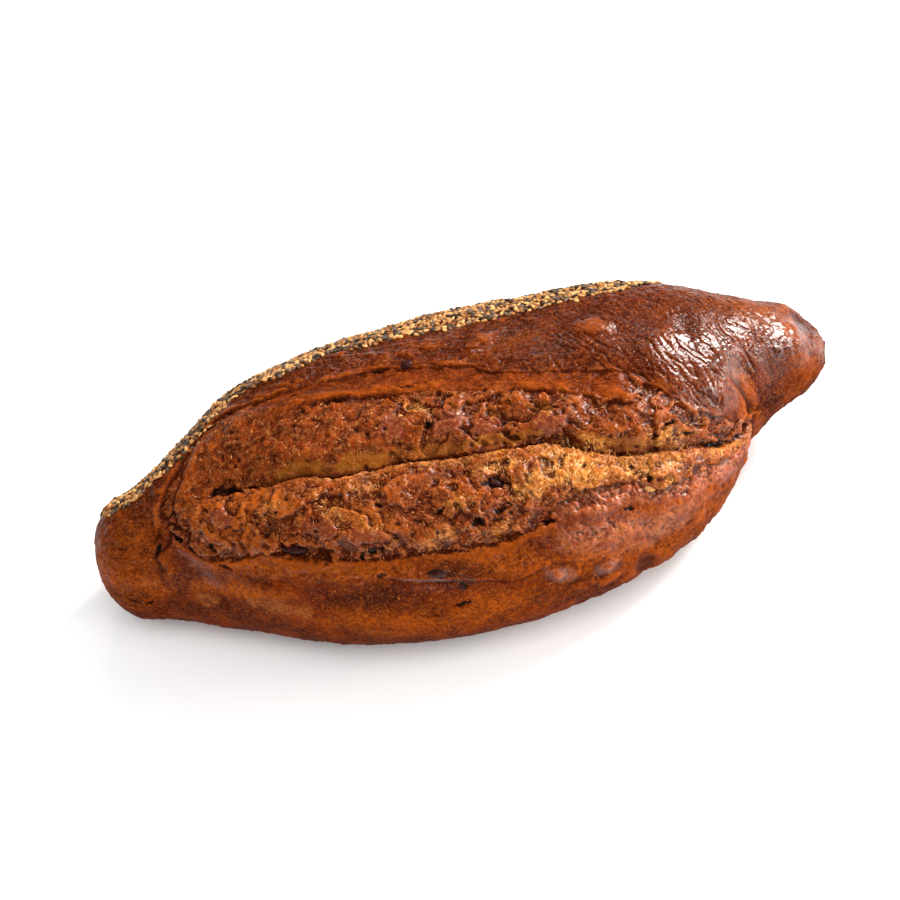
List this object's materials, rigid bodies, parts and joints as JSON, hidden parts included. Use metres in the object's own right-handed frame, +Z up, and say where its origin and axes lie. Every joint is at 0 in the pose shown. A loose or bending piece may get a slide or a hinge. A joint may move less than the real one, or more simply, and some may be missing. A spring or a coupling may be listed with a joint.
{
  "type": "bread loaf",
  "caption": "Long hearth-baked bread loaf with a blunt knob end, a pointed nub end, a split front shoulder and a flat base that it rests on.",
  "frame": {"origin": "middle of the loaf's bounding box, on the plane of the flat base that it rests on", "axes": "+X along the loaf from the blunt knob to the pointed nub, +Y towards the seeded back, -Y towards the split front shoulder, +Z up"},
  "size_m": [0.31, 0.1454, 0.0847],
  "materials": {
    "crust": "baked bread crust, red-brown, satin where smooth and rough where it split",
    "seeds": "toasted sesame seeds, pale gold and black mixed",
    "dark_bits": "baked fruit skin, near black and glossy",
    "nut_bits": "toasted nut, pale gold and matt"
  },
  "bodies": {
    "root": {"bread_loaf": "crust"}
  },
  "joints": []
}
